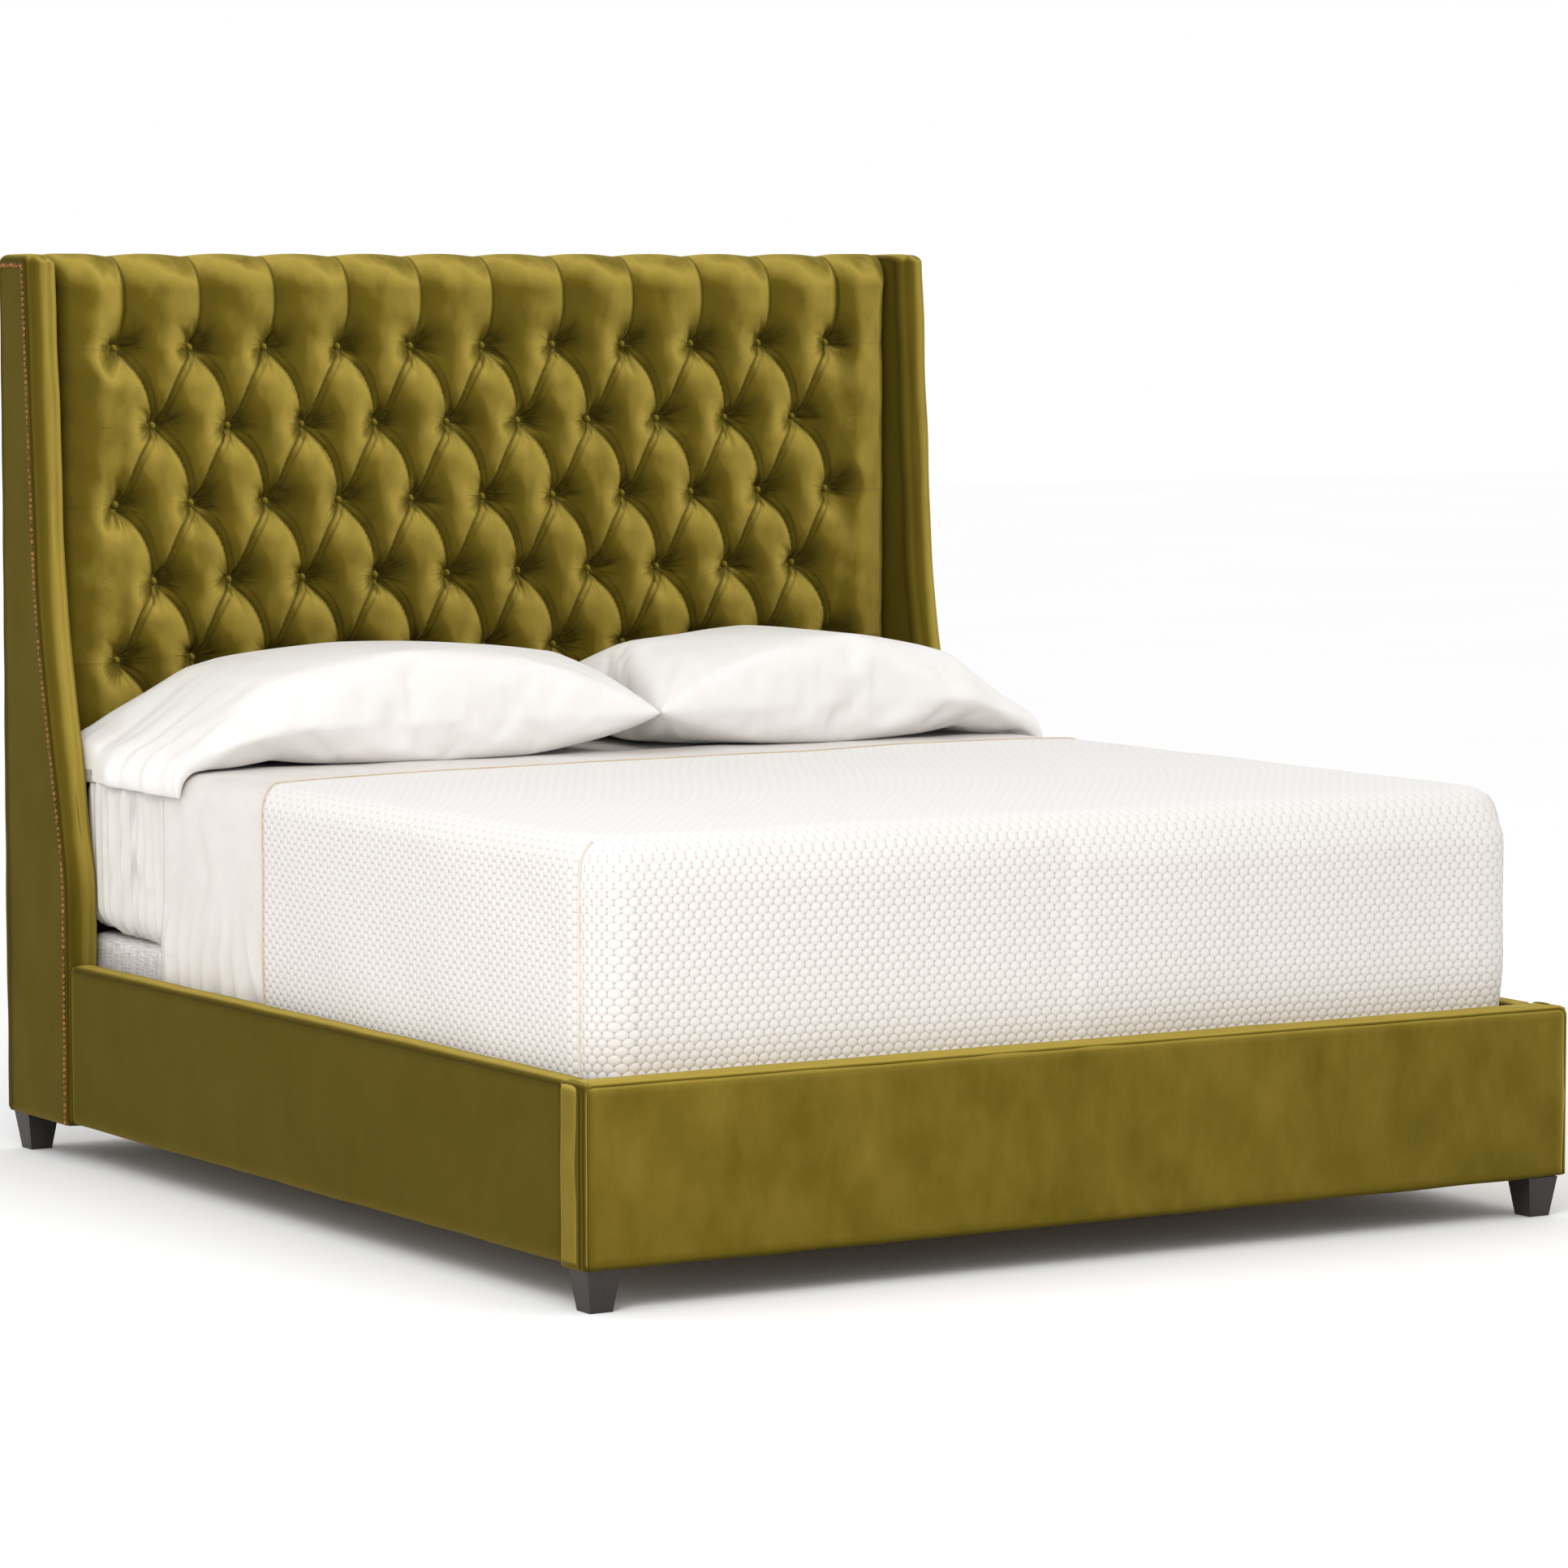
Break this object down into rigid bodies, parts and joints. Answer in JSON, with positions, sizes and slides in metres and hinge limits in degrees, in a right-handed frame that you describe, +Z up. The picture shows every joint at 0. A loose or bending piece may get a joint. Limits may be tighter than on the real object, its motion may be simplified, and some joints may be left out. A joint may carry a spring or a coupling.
{
  "type": "upholstered headboard bed",
  "caption": "King bed with a button-tufted wing headboard, nailhead trim, padded rails and footboard, tapered feet, box spring, mattress, quilted coverlet and pillows.",
  "frame": {"origin": "on the floor under the middle of the bed's overall box", "axes": "+X to the right seen from the foot end, +Y from the footboard to the headboard, +Z up"},
  "size_m": [2.082, 2.304, 1.758],
  "materials": {
    "velvet": "matte",
    "lumber": "matte",
    "plywood": "matte",
    "espresso_wood": "satin",
    "steel": "satin",
    "nail_bronze": "satin",
    "black_cloth": "matte",
    "linen": "matte",
    "white_cotton": "matte",
    "quilted_cotton": "matte",
    "ticking": "matte"
  },
  "bodies": {
    "bed_frame": {"centre_beam": "lumber", "centre_leg_1": "lumber", "centre_leg_2": "lumber", "centre_leg_3": "lumber", "foot_back_left": "espresso_wood", "foot_back_right": "espresso_wood", "foot_bolt_back_left": "steel", "foot_bolt_back_right": "steel", "foot_bolt_front_left": "steel", "foot_bolt_front_right": "steel", "foot_front_left": "espresso_wood", "foot_front_right": "espresso_wood", "footboard_back_panel": "velvet", "footboard_core": "lumber", "footboard_cover": "velvet", "footboard_welt_left": "velvet", "footboard_welt_right": "velvet", "headboard_back_cloth": "black_cloth", "headboard_board": "plywood", "headboard_bottom_rail": "lumber", "headboard_lower_panel": "velvet", "headboard_top_rail": "lumber", "nail_trim_left": "nail_bronze", "nail_trim_right": "nail_bronze", "rail_hook_plate_foot_left": "steel", "rail_hook_plate_foot_right": "steel", "rail_hook_plate_head_left": "steel", "rail_hook_plate_head_right": "steel", "side_rail_board_left": "lumber", "side_rail_board_right": "lumber", "side_rail_cover_left": "velvet", "side_rail_cover_right": "velvet", "slat_1": "plywood", "slat_2": "plywood", "slat_3": "plywood", "slat_4": "plywood", "slat_5": "plywood", "slat_ledger_left": "lumber", "slat_ledger_right": "lumber", "tuft_buttons": "velvet", "tufted_pad": "velvet", "wing_core_left": "lumber", "wing_core_right": "lumber", "wing_front_band_left": "velvet", "wing_front_band_right": "velvet", "wing_inner_panel_left": "velvet", "wing_inner_panel_right": "velvet", "wing_outer_panel_left": "velvet", "wing_outer_panel_right": "velvet"},
    "box_spring": {"box_spring_cover": "linen", "box_spring_deck": "ticking", "box_spring_frame": "lumber"},
    "mattress": {"coverlet": "quilted_cotton", "fitted_sheet": "white_cotton", "flat_sheet": "white_cotton", "mattress": "ticking"},
    "pillow_left": {"pillow_left": "ticking", "pillowcase_left": "white_cotton"},
    "pillow_right": {"pillow_right": "ticking", "pillowcase_right": "white_cotton"}
  },
  "joints": [
    {"name": "box_spring_lift", "type": "slide", "parent": "bed_frame", "child": "box_spring", "axis": [0, 0, 1], "range_m": [0, 0.3]},
    {"name": "mattress_lift", "type": "slide", "parent": "box_spring", "child": "mattress", "axis": [0, 0, 1], "range_m": [0, 0.3]},
    {"name": "pillow_left_lift", "type": "slide", "parent": "mattress", "child": "pillow_left", "axis": [0, 0, 1], "range_m": [0, 0.4]},
    {"name": "pillow_right_lift", "type": "slide", "parent": "mattress", "child": "pillow_right", "axis": [0, 0, 1], "range_m": [0, 0.4]}
  ]
}
